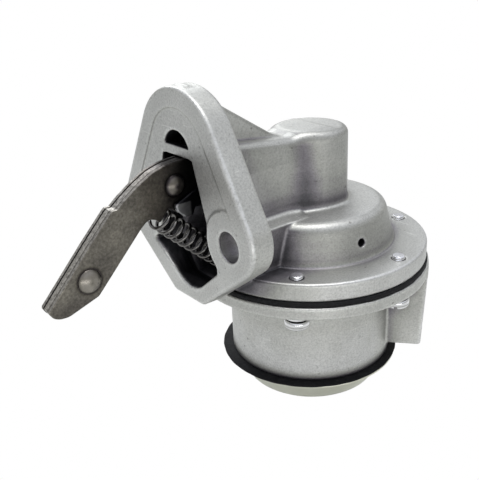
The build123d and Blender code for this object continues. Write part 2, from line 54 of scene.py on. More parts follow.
MM = 0.001
PUMP_X = 59.7
RIM_R = 46.0
RIM_TOP = -20.6
RIM_BOTTOM = -27.55
LOWER_TOP = -29.55
LOWER_FLANGE_BOTTOM = -34.3
BODY_R = 32.8
BODY_BOTTOM = -68.7
DECK_TOP = -42.5
DECK_BOTTOM = -50.5
SCREW_ANGLES = [math.radians(-20 + 60 * k) for k in range(6)]
SCREW_RING_R = 40.4
SCREW_SPOTS = [(PUMP_X + SCREW_RING_R * math.cos(a), SCREW_RING_R * math.sin(a)) for a in SCREW_ANGLES]
PORT_ANGLES = (-50, 70)
PORT_FACE, PORT_Z = 45.35, -55.0
SPOT_FACE_R, SPOT_FACE_REACH = 8.0, 4.65
PORT_R, PORT_REACH = 5.6, 19.65
PORT_WAY_R, PORT_WAY_REACH = 4.2, 22.0
VALVE_TURN = math.radians(10)
VALVE_OFFSET = 14
PIVOT_X, PIVOT_Z = 17.7, 13.4
BOLT_Y, BOLT_Z = 25.5, -0.3
BOSS_R = 11.8
SPRING_TOP = (-9.9, 0, 6.0)
SPRING_FOOT = (17.8, 0, -19.2)


# Materials

WHITE = (1, 1, 1)
BLACK = (0, 0, 0)
WORN_CASTING = (0.78, 0.78, 0.77)
# colour of the arm's rubbed edges, partly wear and partly a painted highlight on the lit rounding
RUBBED_LIT_STEEL = (0.50, 0.475, 0.43)

# what the shade mark makes of a colour, from open walls to the depth of the housing
SHADE_STOPS = [(0.0, WHITE), (0.10, (0.90, 0.90, 0.875)), (0.28, (0.64, 0.64, 0.61)),
               (0.42, (0.36, 0.34, 0.37)), (0.55, (0.14, 0.135, 0.15)), (0.72, (0.04, 0.04, 0.045)),
               (1.0, (0.012, 0.012, 0.016))]

# painted shade on the arm: what its colour becomes between these two places along X, in metres, as it enters
# the shadow of the housing
ENTRY_SHADE_START, ENTRY_SHADE_END = -0.021, 0.002
ENTRY_SHADE_STOPS = [(0.0, WHITE), (0.35, (0.6, 0.58, 0.57)), (0.62, (0.20, 0.19, 0.20)), (1.0, (0.10, 0.10, 0.11))]


class Tree:
    # the shader nodes of a material or world; a value for an input is a socket, a number or a colour

    def __init__(self, owner):
        owner.use_nodes = True
        self.nodes = owner.node_tree.nodes
        self.links = owner.node_tree.links

    def put(self, spot, value):
        if isinstance(value, bpy.types.NodeSocket):
            self.links.new(value, spot)
        else:
            spot.default_value = (*value, 1) if spot.type == "RGBA" else value

    def set(self, node, values):
        for key, value in values.items():
            self.put(node.inputs[key], value)
        return node

    def add(self, kind, values={}):
        return self.set(self.nodes.new("ShaderNode" + kind), values)

    def place(self, kind="Object"):
        return self.add("TexCoord").outputs[kind]

    def axis(self, place, name):
        return self.add("SeparateXYZ", {"Vector": place}).outputs[name]

    def stretched(self, place, scale):
        return self.add("Mapping", {"Scale": scale, "Vector": place}).outputs["Vector"]

    def noise(self, place, scale, detail=4.0, roughness=0.6):
        values = {"Scale": scale, "Detail": detail, "Roughness": roughness, "Vector": place}
        return self.add("TexNoise", values).outputs["Fac"]

    def map_range(self, value, limits):
        return self.add("MapRange", {"Value": value, **limits}).outputs["Result"]

    def ramp(self, value, stops):
        node = self.add("ValToRGB", {"Fac": value})
        e = node.color_ramp.elements
        e[0].position, e[0].color = stops[0][0], (*stops[0][1], 1)
        e[1].position, e[1].color = stops[-1][0], (*stops[-1][1], 1)
        for position, colour in stops[1:-1]:
            e.new(position).color = (*colour, 1)
        return node.outputs["Color"]

    def mark(self, name):
        node = self.add("Attribute")
        node.attribute_name = name
        return node.outputs["Fac"]

    def blend(self, kind, fac, a, b):
        node = self.add("Mix")
        node.data_type = "RGBA"
        node.blend_type = kind
        spots = [node.inputs[0]] + [x for x in node.inputs if x.type == "RGBA"]
        for spot, value in zip(spots, (fac, a, b)):
            self.put(spot, value)
        return next(x for x in node.outputs if x.type == "RGBA")

    def times(self, a, b):
        return self.blend("MULTIPLY", 1.0, a, b)

    def shaded(self, base):
        return self.times(base, self.ramp(self.mark("shade"), SHADE_STOPS))

    def bump(self, bsdf, heights):
        # heights: (value socket, strength, distance in metres)
        normal = None
        for value, strength, distance in heights:
            node = self.add("Bump", {"Strength": strength, "Distance": distance, "Height": value})
            if normal is not None:
                self.put(node.inputs["Normal"], normal)
            normal = node.outputs["Normal"]
        self.put(bsdf.inputs["Normal"], normal)


def new_material(name):
    m = bpy.data.materials.new(name)
    tree = Tree(m)
    return m, tree, tree.nodes["Principled BSDF"]


def grey(tone):
    return (tone, tone, tone)


def scaled(colour, factor, extra=0.0):
    return tuple(min(1, c * factor + extra) for c in colour)


def metal(name, dark, light, metallic, rough, grain=1500, grain_depth=0.00003, strength=0.3, cloud=60):
    # plain metal between two tones, with fine grain
    m, tree, bsdf = new_material(name)
    place = tree.place()
    base = tree.ramp(tree.noise(place, cloud), [(0.3, dark), (0.7, light)])
    tree.set(bsdf, {"Base Color": base, "Metallic": metallic, "Roughness": rough})
    tree.bump(bsdf, [(tree.noise(place, grain, 3), strength, grain_depth)])
    return m


def shaded_metal(name, colour, rough=0.35):
    # metal that goes dark where the shade mark says so
    m, tree, bsdf = new_material(name)
    place = tree.place()
    base = tree.ramp(tree.noise(place, 400), [(0.35, scaled(colour, 0.8)), (0.65, colour)])
    tree.set(bsdf, {"Base Color": tree.shaded(base), "Metallic": 0.95, "Roughness": rough})
    tree.bump(bsdf, [(tree.noise(place, 900, 3), 0.2, 0.00003)])
    return m


def burnished(name, dark, light):
    # oiled dark steel with paler patches, rubbed edges that are partly wear and partly a painted highlight,
    # and painted shade, black towards the mouth of the housing
    m, tree, bsdf = new_material(name)
    place = tree.place()
    base = tree.ramp(tree.noise(place, 95, 3, 0.55), [(0.38, dark), (0.66, light)])
    specks = tree.noise(place, 1100, 3, 0.7)
    base = tree.times(base, tree.ramp(specks, [(0.32, grey(0.70)), (0.5, WHITE), (0.68, grey(1.35))]))
    # rubbed edges: specked wear together with a painted highlight on the lit rounding
    rubbed_lit_edge = tree.times(tree.ramp(tree.mark("edge"), [(0.2, BLACK), (0.8, WHITE)]),
                        tree.ramp(specks, [(0.40, grey(0.25)), (0.60, WHITE)]))
    base = tree.blend("MIX", rubbed_lit_edge, base, RUBBED_LIT_STEEL)
    # painted shade: the arm goes black towards the housing's mouth
    entry_shade = tree.map_range(tree.axis(place, "X"), {"From Min": ENTRY_SHADE_START, "From Max": ENTRY_SHADE_END})
    base = tree.shaded(tree.times(base, tree.ramp(entry_shade, ENTRY_SHADE_STOPS)))
    tree.set(bsdf, {"Base Color": base, "Metallic": 0.9, "Roughness": 0.36})
    tree.bump(bsdf, [(specks, 0.35, 0.00005)])
    return m


def rubber(name, colour, grain):
    m, tree, bsdf = new_material(name)
    fabric = tree.noise(tree.place(), grain, 5, 0.7)
    base = tree.ramp(fabric, [(0.50, colour), (0.75, scaled(colour, 3.0, 0.006))])
    tree.set(bsdf, {"Base Color": base, "Roughness": 0.62, "Specular IOR Level": 0.22})
    tree.bump(bsdf, [(fabric, 0.5, 0.0002)])
    return m


def casting(name, colour):
    # blasted casting: grain, faint scratches and pits, worn edges, a painted highlight on rounded edges, and
    # painted shade where walls close in
    m, tree, bsdf = new_material(name)
    place = tree.place()
    base = tree.ramp(tree.noise(place, 55), [(0.35, scaled(colour, 0.93)), (0.65, scaled(colour, 1.06))])
    grain = tree.noise(place, 1500, 2, 0.7)
    base = tree.times(base, tree.ramp(grain, [(0.30, grey(0.80)), (0.5, WHITE), (0.70, grey(1.13))]))
    scratches = tree.noise(tree.stretched(place, (260, 90, 1500)), 1.0, 3, 0.6)
    base = tree.times(base, tree.ramp(scratches, [(0.64, WHITE), (0.72, grey(1.22))]))
    pits = tree.noise(place, 420, 2, 0.5)
    base = tree.times(base, tree.ramp(pits, [(0.24, (0.62, 0.61, 0.60)), (0.30, WHITE)]))
    # painted highlight: rounded edges lighter, and glossier below
    edge = tree.mark("edge")
    base = tree.times(base, tree.ramp(edge, [(0.15, WHITE), (0.75, (1.28, 1.28, 1.29))]))
    worn = tree.times(tree.ramp(tree.noise(place, 900, 3, 0.7), [(0.42, BLACK), (0.56, WHITE)]),
                      tree.ramp(tree.mark("wear"), [(0.2, BLACK), (0.8, WHITE)]))
    base = tree.shaded(tree.blend("MIX", worn, base, WORN_CASTING))
    rough = tree.map_range(edge, {"To Min": 0.46, "To Max": 0.36})
    tree.set(bsdf, {"Base Color": base, "Metallic": 0.8, "Roughness": rough})
    tree.bump(bsdf, [(grain, 0.5, 0.00007), (scratches, 0.15, 0.00004)])
    return m


mat = {
    "cast_aluminium": casting("cast_aluminium", (0.63, 0.63, 0.617)),
    "black_diaphragm": rubber("black_diaphragm", (0.005, 0.005, 0.006), 900),
    "dark_steel": burnished("dark_steel", (0.115, 0.105, 0.092), (0.205, 0.19, 0.16)),
    "rivet_steel": shaded_metal("rivet_steel", (0.36, 0.335, 0.30)),
    "spring_steel": metal("spring_steel", (0.13, 0.125, 0.12), (0.24, 0.23, 0.22), 1.0, 0.18,
                          500, 0.00002, 0.1, 300),
    "zinc_steel": shaded_metal("zinc_steel", (0.98, 0.98, 0.99), 0.12),
    "plated_pressing": metal("plated_pressing", (0.68, 0.68, 0.57), (0.80, 0.80, 0.69), 0.95, 0.30,
                             300, 0.00003, 0.15, 60),
    "black_rubber": rubber("black_rubber", (0.004, 0.004, 0.005), 700),
    "valve_brass": metal("valve_brass", (0.55, 0.40, 0.16), (0.66, 0.50, 0.22), 1.0, 0.3),
    "link_steel": shaded_metal("link_steel", (0.36, 0.36, 0.37)),
    "pin_steel": metal("pin_steel", (0.40, 0.40, 0.40), (0.48, 0.48, 0.48), 1.0, 0.25),
}


# Signed distance modelling on a grid, in millimetres

class Field:
    def __init__(self, low, high, step):
        self.step = step
        self.low = low
        axes = [np.arange(a, b + step, step, dtype=np.float32) for a, b in zip(low, high)]
        self.x = axes[0][:, None, None]
        self.y = axes[1][None, :, None]
        self.z = axes[2][None, None, :]


def join(a, b, k=0.0):
    if k <= 0:
        return np.minimum(a, b)
    h = np.maximum(k - np.abs(a - b), 0) / k
    return np.minimum(a, b) - h * h * (k / 4)


def meet(a, b, k=0.0):
    return -join(-a, -b, k)


def cut(a, b, k=0.0):
    return -join(-a, b, k)


def outline_distance(u, v, points):
    # signed distance of (u, v) from a closed outline
    p = np.array(points, np.float32)
    q = np.roll(p, -1, axis=0)
    best = np.full(np.broadcast(u, v).shape, 1e9, np.float32)
    inside = np.zeros(best.shape, bool)
    for (ax, ay), (bx, by) in zip(p, q):
        ex, ey = bx - ax, by - ay
        t = np.clip(((u - ax) * ex + (v - ay) * ey) / (ex * ex + ey * ey), 0, 1)
        dx, dy = u - ax - t * ex, v - ay - t * ey
        best = np.minimum(best, dx * dx + dy * dy)
        if by != ay:
            side = ((ay > v) != (by > v)) & (u < (v - ay) * ex / (by - ay) + ax)
            inside ^= side
    return np.where(inside, -np.sqrt(best), np.sqrt(best)).astype(np.float32)


def slab(value, low, high):
    return np.maximum(low - value, value - high)


def prism(flat, depth, rounding=0.0):
    # joins an outline's distance with a slab's, with rounded rims
    a, b = flat + rounding, depth + rounding
    return np.minimum(np.maximum(a, b), 0) + np.hypot(np.maximum(a, 0), np.maximum(b, 0)) - rounding


def lathe(g, points):
    # solid of revolution about the pump's axis, from a fine (radius, z) table
    r = np.hypot(g.x - PUMP_X, g.y)[:, :, 0]
    fine = g.step / 2
    rs = np.arange(0, r.max() + 2 * fine, fine, dtype=np.float32)
    table = outline_distance(rs[:, None], g.z[0], points)
    k = np.clip(r / fine, 0, len(rs) - 2)
    i = k.astype(int)
    t = (k - i).astype(np.float32)[:, :, None]
    return table[i] * (1 - t) + table[i + 1] * t


def upright(g, r, z0, z1, cx=PUMP_X, cy=0.0, rounding=0.0):
    return prism(np.hypot(g.x - cx, g.y - cy) - r, slab(g.z, z0, z1), rounding)


def along_x(g, r, x0, x1, cy, cz):
    return prism(np.hypot(g.y - cy, g.z - cz) - r, slab(g.x, x0, x1))


def along_y(g, r, y0, y1, cx, cz):
    return prism(np.hypot(g.x - cx, g.z - cz) - r, slab(g.y, y0, y1))


def tube_line(g, start, way, length, r):
    # round bar from a point along a unit direction
    dx, dy, dz = g.x - start[0], g.y - start[1], g.z - start[2]
    t = dx * way[0] + dy * way[1] + dz * way[2]
    off = np.sqrt(np.maximum(dx * dx + dy * dy + dz * dz - t * t, 0))
    return np.maximum(off - r, slab(t, 0, length))


ARC_STEPS = 24


def hull_distance(u, v, circles):
    # distance from the convex hull of circles given anticlockwise
    n = len(circles)
    ways, spots = [], []
    for k in range(n):
        y1, z1, r1 = circles[k]
        y2, z2, r2 = circles[(k + 1) % n]
        ways.append(math.atan2(z2 - z1, y2 - y1) - math.acos((r1 - r2) / math.hypot(y2 - y1, z2 - z1)))
    for k in range(n):
        y, z, r = circles[(k + 1) % n]
        turn = (ways[(k + 1) % n] - ways[k]) % (2 * math.pi)
        for s in range(ARC_STEPS + 1):
            a = ways[k] + turn * s / ARC_STEPS
            spots.append((y + r * math.cos(a), z + r * math.sin(a)))
    return outline_distance(u, v, spots)


def surface(g, f):
    # surface nets: one vertex in each cell the surface passes, one quad on each crossing edge
    inside = f < 0
    count = np.zeros(tuple(n - 1 for n in f.shape), np.uint8)
    corners = [(a, b, c) for a in (0, 1) for b in (0, 1) for c in (0, 1)]
    for a, b, c in corners:
        count += inside[a:a + count.shape[0], b:b + count.shape[1], c:c + count.shape[2]]
    mixed = (count > 0) & (count < 8)
    cells = np.argwhere(mixed)
    number = np.full(mixed.shape, -1, np.int32)
    number[mixed] = np.arange(len(cells), dtype=np.int32)
    total = np.zeros((len(cells), 3), np.float32)
    hits = np.zeros(len(cells), np.float32)
    for a in corners:
        for axis in range(3):
            if a[axis]:
                continue
            b = list(a)
            b[axis] = 1
            fa = f[tuple((cells + a).T)]
            fb = f[tuple((cells + b).T)]
            cross = (fa < 0) != (fb < 0)
            t = np.where(cross, fa / np.where(cross, fa - fb, 1), 0)
            spot = np.array(a, np.float32) + np.outer(t, np.array(b) - np.array(a))
            total += spot * cross[:, None]
            hits += cross
    verts = (cells + total / hits[:, None]) * g.step + np.array(g.low)
    quads = []
    for axis in range(3):
        lower = [slice(None)] * 3
        upper = [slice(None)] * 3
        lower[axis], upper[axis] = slice(None, -1), slice(1, None)
        change = inside[tuple(lower)] != inside[tuple(upper)]
        edge = np.argwhere(change)
        others = [k for k in range(3) if k != axis]
        keep = np.ones(len(edge), bool)
        for k in others:
            keep &= (edge[:, k] > 0) & (edge[:, k] < f.shape[k] - 1)
        edge = edge[keep]
        ring = []
        for du, dv in ((-1, -1), (0, -1), (0, 0), (-1, 0)):
            c = edge.copy()
            c[:, others[0]] += du
            c[:, others[1]] += dv
            ring.append(number[tuple(c.T)])
        q = np.stack(ring, axis=1)
        flip = inside[tuple(edge.T)]
        if axis == 1:
            flip = ~flip
        q[~flip] = q[~flip][:, ::-1]
        quads.append(q)
    return verts * MM, np.vstack(quads)


def sample(g, f, p):
    # field value at points in millimetres; far away outside the grid
    u = (p - np.array(g.low)) / g.step
    top = np.array(f.shape) - 2
    outside = ((u < 0) | (u > top)).any(axis=1)
    u = np.clip(u, 0, top)
    i = u.astype(int)
    t = u - i
    total = np.zeros(len(p))
    for a in (0, 1):
        for b in (0, 1):
            for c in (0, 1):
                w = (np.where(a, t[:, 0], 1 - t[:, 0]) * np.where(b, t[:, 1], 1 - t[:, 1])
                     * np.where(c, t[:, 2], 1 - t[:, 2]))
                total += w * f[i[:, 0] + a, i[:, 1] + b, i[:, 2] + c]
    return total, outside


SHADE_WAYS = 6
# how far the shade mark looks for walls, and how much the nearest distance counts against the others
SHADE_REACH = ((2.5, 1.0), (5.5, 0.95), (10.0, 0.85), (17.0, 0.7), (26.0, 0.5))
OPENNESS = 0.38
EDGE_DEPTH = 1.6


def normals(g, f, p):
    steps = np.eye(3) * g.step
    n = np.stack([sample(g, f, p + s)[0] - sample(g, f, p - s)[0] for s in steps], axis=1)
    return n / np.maximum(np.linalg.norm(n, axis=1), 1e-6)[:, None]


def wall_marks(g, f, p, n):
    # for each vertex: shade, how closely walls surround it, and edge, how sharply it stands out
    side = np.cross(n, np.where(np.abs(n[:, 2:]) < 0.9, (0.0, 0.0, 1.0), (1.0, 0.0, 0.0)))
    side /= np.linalg.norm(side, axis=1)[:, None]
    other = np.cross(n, side)
    shade, total = np.zeros(len(p)), np.zeros(len(p))
    ways = [n]
    for k in range(1, SHADE_WAYS + 1):
        a = 2 * math.pi * k / SHADE_WAYS
        ways.append(n * 0.6 + (side * math.cos(a) + other * math.sin(a)) * 0.8)
    for way in ways:
        hidden = np.zeros(len(p))
        for d, most in SHADE_REACH:
            value, outside = sample(g, f, p + way * d)
            near = np.clip(1 - value / (OPENNESS * d), 0, 1) * most
            hidden = np.maximum(hidden, np.where(outside, 0, near))
        weight = 0.65 + 0.35 * way[:, 2]
        shade += hidden * weight
        total += weight
    edge = np.clip((EDGE_DEPTH + sample(g, f, p - n * EDGE_DEPTH)[0]) / EDGE_DEPTH, 0, 1)
    return shade / total, edge


def mark(o, name, values):
    a = o.data.attributes.get(name) or o.data.attributes.new(name, "FLOAT", "POINT")
    a.data.foreach_set("value", np.clip(values, 0, 1).astype(np.float32))


def rise(value, start, width):
    # 0 up to start, 1 from width further on
    return np.clip((value - start) / width, 0, 1)


def fall(value, end, width):
    # 1 up to width before end, 0 from end on
    return np.clip((end - value) / width, 0, 1)


def within(value, low, high):
    return (value > low) & (value < high)


def mesh_object(name, verts, quads, material):
    mesh = bpy.data.meshes.new(name)
    mesh.vertices.add(len(verts))
    mesh.vertices.foreach_set("co", np.asarray(verts, np.float32).ravel())
    mesh.loops.add(quads.size)
    mesh.loops.foreach_set("vertex_index", quads.astype(np.int32).ravel())
    mesh.polygons.add(len(quads))
    mesh.polygons.foreach_set("loop_start", np.arange(0, quads.size, 4, dtype=np.int32))
    mesh.polygons.foreach_set("use_smooth", np.ones(len(quads), bool))
    mesh.update(calc_edges=True)
    mesh.validate()
    mesh.materials.append(mat[material])
    o = bpy.data.objects.new(name, mesh)
    bpy.context.scene.collection.objects.link(o)
    return o


def solid(name, g, f, material):
    # the piece that the field f bounds, and its vertices in millimetres
    verts, quads = surface(g, f)
    return mesh_object(name, verts, quads, material), verts / MM


def take(o, slot_name, body, *nodes):
    # shows o in place of CAD nodes, on their body
    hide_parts(*nodes)
    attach(o, body)


# Upper housing

FOOT = (7.59, -25.0, 2.68)
EAR = (25.07, 0.97, 12.58)
APEX = (0.0, 24.83, 22.46)
FLANGE_GROWTH = 0.25
FLANGE_THICK = 9.2
FLANGE_BACK = 9.5
BOX_HALF = 9.0
BOX_BOTTOM = -12.0
CHAMBER_HALF = 6.4
ROOM_FLOOR, ROOM_TOP, ROOM_R = -1.5, 18.73, 11.8
TOWER_X, TOWER_R, TOWER_TOP = 60.4, 14.4, 23.6
DRUM_R, DRUM_TOP_R, DRUM_TOP = 33.3, 29.4, -5.5
ARCH_Y, ARCH_Z, ARCH_R = 0.65, 25.9, 7.35
WEB_BOTTOM, WEB_TOP = 24.6, 27.9
BOLT_R, PIN_BORE_R, RIM_HOLE_R = 5.1, 4.02, 2.55
SEAT_WAY = (0.7402, 0, -0.6724)
SEAT_R, SEAT_LENGTH = 5.2, 9.0
NUB_START, NUB_R, NUB_LENGTH = (15.6, 0, -17.2), 2.5, 4.0
VENT_ANGLE = math.radians(-96.5)
VENT_START, VENT_Z, VENT_R, VENT_LENGTH = 22, -14.1, 1.5, 20

# half outlines, as (y, z) from the top down, of the neck, of the flare behind the flange and of the way in
NECK = [(9.0, -3.6), (15.2, -5.1), (15.2, RIM_TOP - 0.3), (9.0, -25.6)]
FLARE_FRONT = [(11.6, 22.0), (18.6, -6.0), (19.0, -12.0), (15.5, -20.0), (9.0, -25.6)]
FLARE_BACK = [(8.9, 20.0), (8.9, -3.8), (15.1, -5.3), (15.1, RIM_TOP - 0.3), (9.0, -25.6)]
WAY_FRONT = [(7.7, WEB_BOTTOM), (12.9, 0.0), (15.0, -10.0), (14.0, -11.5), (6.5, -22.4)]
WAY_BACK = [(CHAMBER_HALF, 23.0), (CHAMBER_HALF, -4.0), (11.2, -9.5), (11.2, -13.0), (7.0, -22.4)]

# whole outlines of the mouth, at the flange's face and behind it
MOUTH_FACE = [(9.1, WEB_BOTTOM), (20.2, -9.4), (19.2, -11.1), (13.6, -14.8), (7.9, -18.0), (2.4, -21.9),
              (-1.4, -22.9), (-4.9, -22.4), (-8.2, -20.9), (-18.3, -12.7), (-18.4, -10.3), (-7.7, WEB_BOTTOM)]
MOUTH_BACK = [(9.1, WEB_BOTTOM), (15.0, -10.0), (6.5, -22.4), (-6.5, -22.4), (-15.0, -10.0),
              (-7.7, WEB_BOTTOM)]

# the room above the diaphragm, as (radius, z)
CAVITY = [(0, RIM_BOTTOM - 6), (29.5, RIM_BOTTOM - 6), (29.3, RIM_TOP - 2), (26.0, -10.6), (20.0, -8.2),
          (0, -8.2)]


def flange_circles(inset=0.0):
    order = [FOOT, EAR, APEX, (-EAR[0], EAR[1], EAR[2]), (-FOOT[0], FOOT[1], FOOT[2])]
    return [(y, z, r - inset) for y, z, r in order]


def both_sides(half):
    return half + [(-y, z) for y, z in reversed(half)]


def blended_section(g, x0, outline0, x1, outline1):
    # section that changes from one outline to another along X
    t = np.clip((g.x - x0) / (x1 - x0), 0, 1)
    a = outline_distance(g.y[0], g.z[0], outline0)[None]
    b = outline_distance(g.y[0], g.z[0], outline1)[None]
    return a * (1 - t) + b * t


def housing_field(g):
    outline = hull_distance(g.y[0], g.z[0], flange_circles(-FLANGE_GROWTH))[None]
    flange = prism(outline, slab(g.x, 0.0, FLANGE_THICK), 1.1)
    neck = prism(outline_distance(g.y[0], g.z[0], both_sides(NECK))[None], slab(g.x, 5.0, 45.0), 0.8)
    flare = blended_section(g, 7.4, both_sides(FLARE_FRONT), 21.0, both_sides(FLARE_BACK))
    flare = np.maximum(flare, slab(g.x, 4.0, 21.5))
    roof = 28.5 - 0.12 * np.minimum(g.x, 46.7)
    box = meet(np.abs(g.y) - BOX_HALF, g.z - roof, 4.2)
    box = np.maximum(box, np.maximum(BOX_BOTTOM - g.z, slab(g.x, 4.0, PUMP_X)))
    tower = upright(g, TOWER_R, -10.0, TOWER_TOP, cx=TOWER_X, rounding=2.9)
    upper = join(corner(g, box, tower), flare, 1.2)
    body = join(join(drum_field(g), neck, 1.0), upper, 2.4)
    ridge = 44.8 - 0.6408 * (g.x - 8.2)
    rib = np.maximum(meet(np.abs(g.y) - 3.0, g.z - ridge, 0.8), 18 - g.z)
    body = join(body, np.maximum(rib, slab(g.x, 4.0, 46.0)), 1.6)
    body = join(body, upright(g, RIM_R, RIM_BOTTOM, RIM_TOP, rounding=1.0), 1.0)
    return join(body, flange, 1.8)


def corner(g, box, tower):
    # box and tower joined with a large upright concave corner, faded out towards the top
    soft = join(box, tower, 11.0)
    hard = join(box, tower, 5.0)
    t = rise(g.z, 11.0, 9.0)
    return soft * (1 - t) + hard * t


def drum_field(g):
    # drum with a rounded top edge and a slightly coned top
    r = np.hypot(g.x - PUMP_X, g.y)
    slope = math.atan2(DRUM_R - DRUM_TOP_R, DRUM_TOP - RIM_TOP)
    side = (r - DRUM_R) * math.cos(slope) + (g.z - RIM_TOP) * math.sin(slope)
    cone = math.atan2(0.9, DRUM_TOP_R - 13.4)
    top = (g.z - DRUM_TOP) * math.cos(cone) + (r - DRUM_TOP_R) * math.sin(cone)
    return np.maximum(meet(meet(side, top, 3.4), g.z + 4.6, 0.5), RIM_BOTTOM + 0.6 - g.z)


def front_cut(g, boss):
    # mouth, arch, chamber and the way to it, with the web left standing across
    mouth = blended_section(g, 0.0, MOUTH_FACE, 9.0, MOUTH_BACK)
    mouth = np.maximum(mouth, slab(g.x, -3.0, 9.5))
    mouth = cut(mouth + 0.8, boss - 0.8, 1.0) - 0.8
    way = blended_section(g, 9.0, both_sides(WAY_FRONT), 20.0, both_sides(WAY_BACK))
    way = np.maximum(way, slab(g.x, 8.0, 25.5))
    arch = np.maximum(np.hypot(g.y - ARCH_Y, np.maximum(g.z - ARCH_Z, 0)) - ARCH_R, 20.0 - g.z)
    pocket = prism(arch, slab(g.x, -3.0, 7.0))
    ceiling = ARCH_Z - 0.12 * g.x
    room = np.maximum(np.maximum(g.z - ceiling, slab(g.x, 8.0, PUMP_X)), ROOM_FLOOR - g.z)
    room = np.maximum(np.abs(g.y) - CHAMBER_HALF, room)
    room = join(room, upright(g, ROOM_R, ROOM_FLOOR, ROOM_TOP, cx=TOWER_X))
    front = join(np.minimum(mouth, pocket), way, 1.0)
    web = np.maximum(slab(g.z, WEB_BOTTOM, WEB_TOP), np.maximum(np.abs(g.y) - 12.0, slab(g.x, -1.0, 3.6)))
    return join(cut(front, web, 0.5), room, 1.0)


def housing_cuts(g, body):
    boss = np.minimum(np.hypot(g.y - BOLT_Y, g.z), np.hypot(g.y + BOLT_Y, g.z - BOLT_Z)) - BOSS_R
    body = cut(body, front_cut(g, boss), 0.7)
    cavity = lathe(g, CAVITY)
    cavity = np.minimum(cavity, upright(g, 6.5, -10.0, -2.9))
    cavity = np.minimum(cavity, upright(g, 3.5, -10.0, 1.0))
    body = cut(body, cavity, 0.3)
    recess = hull_distance(g.y[0], g.z[0], flange_circles(6.5)[1:4])[None]
    recess = np.maximum(recess, np.maximum(g.x - 0.4, 0.4 - boss))
    body = cut(body, np.maximum(recess, -g.z - 1.0), 0.2)
    for s in (-1, 1):
        body = cut(body, along_x(g, BOLT_R, -5, 14, s * BOLT_Y, BOLT_Z), 0.7)
    body = cut(body, along_y(g, PIN_BORE_R, -20, 20, PIVOT_X, PIVOT_Z), 0.2)
    for x, y in SCREW_SPOTS:
        body = cut(body, upright(g, RIM_HOLE_R, RIM_BOTTOM - 5, RIM_TOP + 1.5, x, y), 0.2)
    way = (math.cos(VENT_ANGLE), math.sin(VENT_ANGLE), 0)
    start = (PUMP_X + VENT_START * way[0], VENT_START * way[1], VENT_Z)
    body = cut(body, tube_line(g, start, way, VENT_LENGTH, VENT_R), 0.3)
    # the return spring's seat, with a nub inside the coil
    pad = tube_line(g, SPRING_FOOT, SEAT_WAY, SEAT_LENGTH, SEAT_R)
    pad = np.maximum(pad, np.maximum(-25 - g.z, g.x - 26))
    return np.minimum(body, np.minimum(pad, tube_line(g, NUB_START, SEAT_WAY, NUB_LENGTH, NUB_R)))


def foot_step(x, z, up):
    # the rounded step at the foot of box and tower
    return (x > 12) * within(z, -8.0, -1.0) * rise(up, 0.45, 0.25)


def housing_shade(p, n, shade):
    # painted shade, added to or taken from what the walls round a place give
    x, y, z = p[:, 0], np.abs(p[:, 1]), p[:, 2]
    up = n[:, 2]
    wall = np.clip(1.3 - 1.6 * np.abs(up), 0, 1)
    # painted shade: the upper casting a little darker, its upright walls most
    shade = shade + 0.05 * (1 - 0.8 * np.clip(up, 0, 1))
    # painted shade on upright walls behind the flange, with the walls' own shade eased on the drum's side,
    # and on the flange's rim
    drum_side = (x > 12) & within(z, -20.0, -6.5)
    behind = rise(x, FLANGE_BACK, 2.5) * rise(z, -20.0, 2.0) * fall(z, 25.0, 2.0)
    shade = shade * (1 - 0.22 * drum_side) + (0.13 + 0.04 * drum_side) * behind * wall
    shade = shade + 0.08 * within(x, 1.3, FLANGE_BACK) * (np.abs(n[:, 0]) < 0.6)
    # painted shade in the upright hollow between box and tower
    hollow = np.exp(-((x - 47.2) / 4.6) ** 2) * within(y, 7.5, 14.0)
    deep = rise(z, -5.0, 4.0) * fall(z, 23.0, 3.0) * (0.72 + 0.28 * rise(z, 0.0, 10.0))
    shade = shade + 0.23 * hollow * wall * deep
    # painted shade on level tops, less of it on the roof along the rib and on the step at its foot
    level = (x > FLANGE_BACK) * rise(up, 0.8, 0.15)
    shade = shade + (0.17 * (z > 15.0) + 0.08 * within(z, -9.0, -2.0)) * level
    roof = (z > 20.0) & within(x, 10.0, 47.0) & within(y, 3.0, 8.5)
    shade = np.where(roof, shade * 0.5, shade) * (1 - 0.55 * foot_step(x, z, up))
    # painted shade on rounded tops turned to the lamp, and on the flange's top
    round_top = rise(up, 0.2, 0.3) * fall(up, 0.985, 0.05)
    shade = shade + 0.13 * round_top * (x > 12) * ((z > 17.5) | within(z, -9.5, -5.2))
    shade = shade + 0.13 * (x < FLANGE_BACK) * rise(z, 34.0, 8.0) * np.clip(up * 1.5, 0, 1)
    # painted shade inside the mouth, less of it in the bolt holes
    mouth = within(x, 0.7, 9.2) & (y < 19.5) & within(z, -23.5, 24.0)
    shade = shade + 0.20 * mouth * rise(x, 0.7, 1.2)
    bolt = np.hypot(y - BOLT_Y, z - BOLT_Z)
    shade = np.where((bolt < 5.5) & within(x, 0.8, 9.0), 0.11 + 0.42 * shade, shade)
    # painted shade along the rim of the shallow recess and the raised ring round each bolt hole
    face = x < 1.0
    recess = np.abs(hull_distance(p[:, 1], z, flange_circles(6.5)[1:4]))
    line = np.clip(1 - recess / 0.45, 0, 1) * face * (z > 10.0)
    ring = np.clip(1 - np.abs(bolt - BOSS_R) / 0.4, 0, 1) * face * (z > 2.0) * within(y, 12.0, 22.5)
    return shade + 0.22 * line + 0.42 * ring


